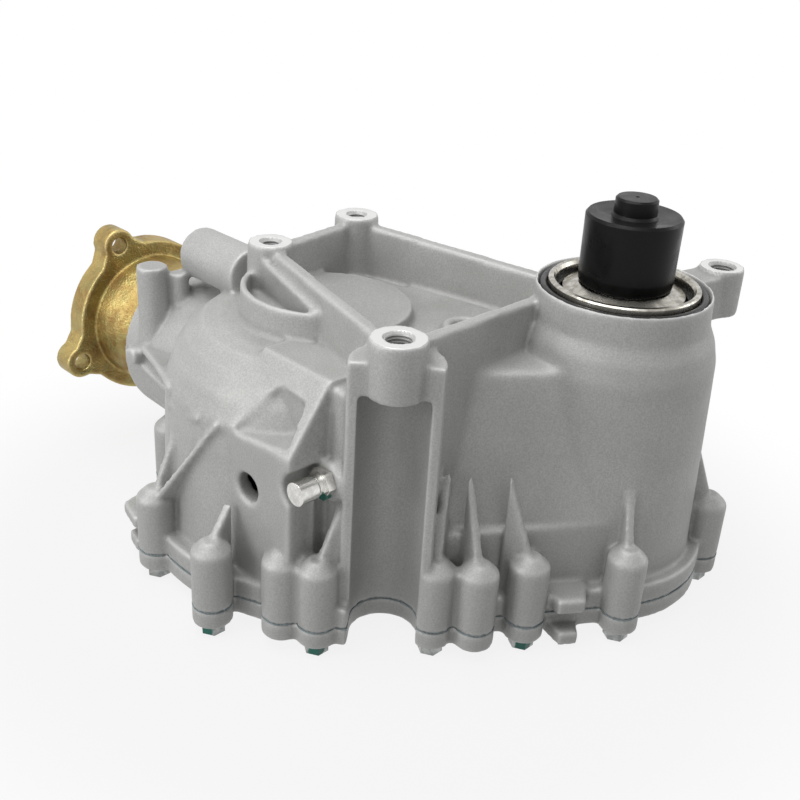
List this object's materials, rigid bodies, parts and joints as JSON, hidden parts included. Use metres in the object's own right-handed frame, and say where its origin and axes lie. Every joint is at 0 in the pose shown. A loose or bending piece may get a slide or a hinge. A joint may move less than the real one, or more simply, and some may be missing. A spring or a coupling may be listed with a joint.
{
  "type": "power take-off unit",
  "caption": "Right-angle power take-off unit: capped input shaft, spur train and bevel pair in a ribbed cast case, with an eared output flange.",
  "frame": {"origin": "on the input shaft's axis, in the plane of the four mounting bosses", "axes": "+Z along the input shaft, out of the case mouth towards the transaxle; +Y along the output shaft, out of the flange; -X towards the side with the filler hole"},
  "size_m": [0.3049, 0.3951, 0.2309],
  "materials": {
    "cast_aluminium": "as cast, grey, slightly rough",
    "bolt_steel": "zinc plated",
    "dowel_steel": "ground",
    "sealant": "matt",
    "shaft_steel": "turned and ground",
    "gear_steel": "ground teeth",
    "bearing_steel": "polished",
    "washer_steel": "lapped",
    "ring_bolt_steel": "black oxide",
    "seal_rubber": "matt",
    "o_ring_rubber": "oiled",
    "ring_steel": "turned",
    "cap_rubber": "moulded, slight sheen",
    "zinc_gold": "yellow zinc plated casting",
    "nut_steel": "phosphated",
    "vent_plating": "bright zinc plated"
  },
  "bodies": {
    "housing": {"main_case": "cast_aluminium", "cover": "cast_aluminium", "cover_bolts": "bolt_steel", "cover_dowels": "dowel_steel", "sealant_bead": "sealant", "pilot_ring": "ring_steel", "pilot_o_ring": "o_ring_rubber", "input_seal": "seal_rubber", "cover_seal": "seal_rubber", "idler_shaft": "shaft_steel", "idler_washers": "washer_steel", "pinion_seal": "seal_rubber", "vent_body": "vent_plating", "input_upper_cup": "bearing_steel", "input_lower_cup": "bearing_steel", "transfer_upper_cup": "bearing_steel", "transfer_lower_cup": "bearing_steel", "pinion_head_cup": "bearing_steel", "pinion_tail_cup": "bearing_steel"},
    "input": {"input_shaft": "shaft_steel", "input_gear": "gear_steel", "input_slinger": "ring_steel", "input_upper_cone": "bearing_steel", "input_lower_cone": "bearing_steel"},
    "shaft_cap": {"shaft_cap": "cap_rubber"},
    "idler": {"idler_gear": "gear_steel"},
    "idler_needles": {"idler_needles": "bearing_steel"},
    "transfer": {"transfer_shaft": "shaft_steel", "transfer_gear": "gear_steel", "ring_gear": "gear_steel", "ring_gear_bolts": "ring_bolt_steel", "transfer_upper_cone": "bearing_steel", "transfer_lower_cone": "bearing_steel"},
    "output": {"pinion_gear": "gear_steel", "pinion_spacer": "shaft_steel", "pinion_nut": "nut_steel", "output_flange": "zinc_gold", "flange_deflector": "zinc_gold", "pinion_head_cone": "bearing_steel", "pinion_tail_cone": "bearing_steel"},
    "vent_cap": {"vent_cap": "vent_plating"},
    "input_upper_rollers": {"input_upper_rollers": "bearing_steel"},
    "input_lower_rollers": {"input_lower_rollers": "bearing_steel"},
    "transfer_upper_rollers": {"transfer_upper_rollers": "bearing_steel"},
    "transfer_lower_rollers": {"transfer_lower_rollers": "bearing_steel"},
    "pinion_head_rollers": {"pinion_head_rollers": "bearing_steel"},
    "pinion_tail_rollers": {"pinion_tail_rollers": "bearing_steel"}
  },
  "joints": [
    {"name": "input_spin", "type": "hinge", "parent": "housing", "child": "input", "pos_m": [0, 0, 0], "axis": [0, 0, 1], "continuous": true},
    {"name": "shaft_cap_pull", "type": "slide", "parent": "input", "child": "shaft_cap", "axis": [0, 0, 1], "range_m": [0, 0.07]},
    {"name": "idler_spin", "type": "hinge", "parent": "housing", "child": "idler", "pos_m": [-0.05369, 0.06264, -0.137], "axis": [0, 0, 1], "continuous": true},
    {"name": "idler_needles_orbit", "type": "hinge", "parent": "housing", "child": "idler_needles", "pos_m": [-0.05369, 0.06264, -0.137], "axis": [0, 0, 1], "continuous": true},
    {"name": "transfer_spin", "type": "hinge", "parent": "housing", "child": "transfer", "pos_m": [-0.09933, 0.12955, -0.096], "axis": [0, 0, 1], "continuous": true},
    {"name": "output_spin", "type": "hinge", "parent": "housing", "child": "output", "pos_m": [-0.09933, 0.12955, -0.096], "axis": [0, 1, 0], "continuous": true},
    {"name": "vent_cap_lift", "type": "slide", "parent": "housing", "child": "vent_cap", "axis": [-1, 0, 0], "range_m": [0, 0.001]},
    {"name": "input_upper_rollers_orbit", "type": "hinge", "parent": "housing", "child": "input_upper_rollers", "pos_m": [0, 0, 0], "axis": [0, 0, 1], "continuous": true},
    {"name": "input_lower_rollers_orbit", "type": "hinge", "parent": "housing", "child": "input_lower_rollers", "pos_m": [0, 0, 0], "axis": [0, 0, 1], "continuous": true},
    {"name": "transfer_upper_rollers_orbit", "type": "hinge", "parent": "housing", "child": "transfer_upper_rollers", "pos_m": [-0.09933, 0.12955, -0.096], "axis": [0, 0, 1], "continuous": true},
    {"name": "transfer_lower_rollers_orbit", "type": "hinge", "parent": "housing", "child": "transfer_lower_rollers", "pos_m": [-0.09933, 0.12955, -0.096], "axis": [0, 0, 1], "continuous": true},
    {"name": "pinion_head_rollers_orbit", "type": "hinge", "parent": "housing", "child": "pinion_head_rollers", "pos_m": [-0.09933, 0.12955, -0.096], "axis": [0, 1, 0], "continuous": true},
    {"name": "pinion_tail_rollers_orbit", "type": "hinge", "parent": "housing", "child": "pinion_tail_rollers", "pos_m": [-0.09933, 0.12955, -0.096], "axis": [0, 1, 0], "continuous": true}
  ],
  "couplings": [
    {"joint": "idler_spin", "follows": "input_spin", "ratio": -1.2},
    {"joint": "idler_needles_orbit", "follows": "input_spin", "ratio": -0.71807},
    {"joint": "transfer_spin", "follows": "input_spin", "ratio": 1.0345},
    {"joint": "output_spin", "follows": "input_spin", "ratio": -2.8276},
    {"joint": "input_upper_rollers_orbit", "follows": "input_spin", "ratio": 0.452},
    {"joint": "input_lower_rollers_orbit", "follows": "input_spin", "ratio": 0.45355},
    {"joint": "transfer_upper_rollers_orbit", "follows": "input_spin", "ratio": 0.45517},
    {"joint": "transfer_lower_rollers_orbit", "follows": "input_spin", "ratio": 0.44631},
    {"joint": "pinion_head_rollers_orbit", "follows": "input_spin", "ratio": -1.1876},
    {"joint": "pinion_tail_rollers_orbit", "follows": "input_spin", "ratio": -1.1705}
  ]
}
